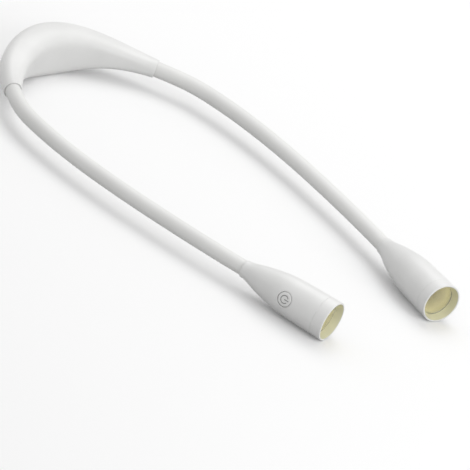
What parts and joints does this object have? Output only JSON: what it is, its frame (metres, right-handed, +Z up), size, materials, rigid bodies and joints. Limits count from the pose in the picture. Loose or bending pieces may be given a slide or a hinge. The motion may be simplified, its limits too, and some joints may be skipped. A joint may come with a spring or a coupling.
{
  "type": "neck reading light",
  "caption": "Hands-free reading light worn round the neck: a crescent battery housing with bendable arms that end in bell-shaped lamp heads.",
  "frame": {"origin": "centre of the bounding box, at the height of the surface that the light lies on", "axes": "+Z up off that surface, +Y towards the back of the neck, and the heads point to -Y. Seen from in front of the heads, looking along +Y, left is -X and right is +X"},
  "size_m": [0.1656, 0.2938, 0.0264],
  "materials": {
    "white_plastic": "satin white moulding",
    "white_silicone": "smooth satin silicone",
    "steel": "plain",
    "battery_foil": "foil pouch",
    "grey_foam": "matt foam",
    "green_board": "solder mask",
    "black_plastic": "moulded",
    "socket_metal": "plated",
    "clear_plastic": "clear",
    "led_yellow": "phosphor",
    "red_insulation": "satin",
    "lens_plastic": "clear to pale amber",
    "reflector": "bright",
    "led_board_metal": "white mask over metal core"
  },
  "bodies": {
    "root": {"neck_housing": "white_plastic", "back_cover": "white_plastic", "left_cover_screw": "steel", "right_cover_screw": "steel", "battery_cell": "battery_foil", "battery_foam": "grey_foam", "main_board": "green_board", "charge_chip": "black_plastic", "micro_usb_socket": "socket_metal", "light_pipe": "clear_plastic", "charge_led": "led_yellow", "left_pad_lead": "red_insulation", "right_pad_lead": "red_insulation", "left_arm_anchor": "white_plastic", "right_arm_anchor": "white_plastic"},
    "left_link_1": {"left_arm_sleeve_1": "white_silicone", "left_arm_core_1": "steel"},
    "left_link_2": {"left_arm_sleeve_2": "white_silicone", "left_arm_core_2": "steel"},
    "left_link_3": {"left_arm_sleeve_3": "white_silicone", "left_arm_core_3": "steel"},
    "left_link_4": {"left_arm_sleeve_4": "white_silicone", "left_arm_core_4": "steel"},
    "left_head": {"left_head_shell": "white_plastic", "left_bezel_ring": "white_plastic", "left_lens": "lens_plastic", "left_reflector": "reflector", "left_led_board": "led_board_metal", "left_led_chip": "led_yellow", "left_head_lead": "red_insulation", "left_control_board": "green_board", "left_tact_switch": "black_plastic"},
    "left_button": {"left_power_button": "white_plastic"},
    "right_link_1": {"right_arm_sleeve_1": "white_silicone", "right_arm_core_1": "steel"},
    "right_link_2": {"right_arm_sleeve_2": "white_silicone", "right_arm_core_2": "steel"},
    "right_link_3": {"right_arm_sleeve_3": "white_silicone", "right_arm_core_3": "steel"},
    "right_link_4": {"right_arm_sleeve_4": "white_silicone", "right_arm_core_4": "steel"},
    "right_head": {"right_head_shell": "white_plastic", "right_bezel_ring": "white_plastic", "right_lens": "lens_plastic", "right_reflector": "reflector", "right_led_board": "led_board_metal", "right_led_chip": "led_yellow", "right_head_lead": "red_insulation", "right_control_board": "green_board", "right_tact_switch": "black_plastic"},
    "right_button": {"right_power_button": "white_plastic"}
  },
  "joints": [
    {"name": "left_arm_root_pitch", "type": "hinge", "parent": "root", "child": "left_link_1", "pos_m": [-0.06703, 0.09517, 0.012], "axis": [-1, 0, 0], "range_deg": [-35, 35]},
    {"name": "left_arm_upper_yaw", "type": "hinge", "parent": "left_link_1", "child": "left_link_2", "pos_m": [-0.07781, 0.05351, 0.012], "axis": [0, 0, -1], "range_deg": [-6, 35]},
    {"name": "left_arm_middle_pitch", "type": "hinge", "parent": "left_link_2", "child": "left_link_3", "pos_m": [-0.07692, 0.01004, 0.012], "axis": [-1, 0, 0], "range_deg": [-35, 35]},
    {"name": "left_arm_lower_yaw", "type": "hinge", "parent": "left_link_3", "child": "left_link_4", "pos_m": [-0.07112, -0.03308, 0.012], "axis": [0, 0, -1], "range_deg": [-6, 35]},
    {"name": "left_head_pitch", "type": "hinge", "parent": "left_link_4", "child": "left_head", "pos_m": [-0.06276, -0.07579, 0.012], "axis": [-0.9763, -0.2164, 0], "range_deg": [-35, 35]},
    {"name": "left_button_press", "type": "slide", "parent": "left_head", "child": "left_button", "axis": [0.9615, 0.2132, -0.1736], "range_m": [0, 0.0005], "stiffness_N_per_m": 400, "springref_m": -0.002},
    {"name": "right_arm_root_pitch", "type": "hinge", "parent": "root", "child": "right_link_1", "pos_m": [0.06703, 0.09517, 0.012], "axis": [-1, 0, 0], "range_deg": [-35, 35]},
    {"name": "right_arm_upper_yaw", "type": "hinge", "parent": "right_link_1", "child": "right_link_2", "pos_m": [0.07781, 0.05351, 0.012], "axis": [0, 0, 1], "range_deg": [-6, 35]},
    {"name": "right_arm_middle_pitch", "type": "hinge", "parent": "right_link_2", "child": "right_link_3", "pos_m": [0.07692, 0.01004, 0.012], "axis": [-1, 0, 0], "range_deg": [-35, 35]},
    {"name": "right_arm_lower_yaw", "type": "hinge", "parent": "right_link_3", "child": "right_link_4", "pos_m": [0.07112, -0.03308, 0.012], "axis": [0, 0, 1], "range_deg": [-6, 35]},
    {"name": "right_head_pitch", "type": "hinge", "parent": "right_link_4", "child": "right_head", "pos_m": [0.06276, -0.07579, 0.012], "axis": [-0.9763, 0.2164, 0], "range_deg": [-35, 35]},
    {"name": "right_button_press", "type": "slide", "parent": "right_head", "child": "right_button", "axis": [-0.9615, 0.2132, -0.1736], "range_m": [0, 0.0005], "stiffness_N_per_m": 400, "springref_m": -0.002}
  ]
}
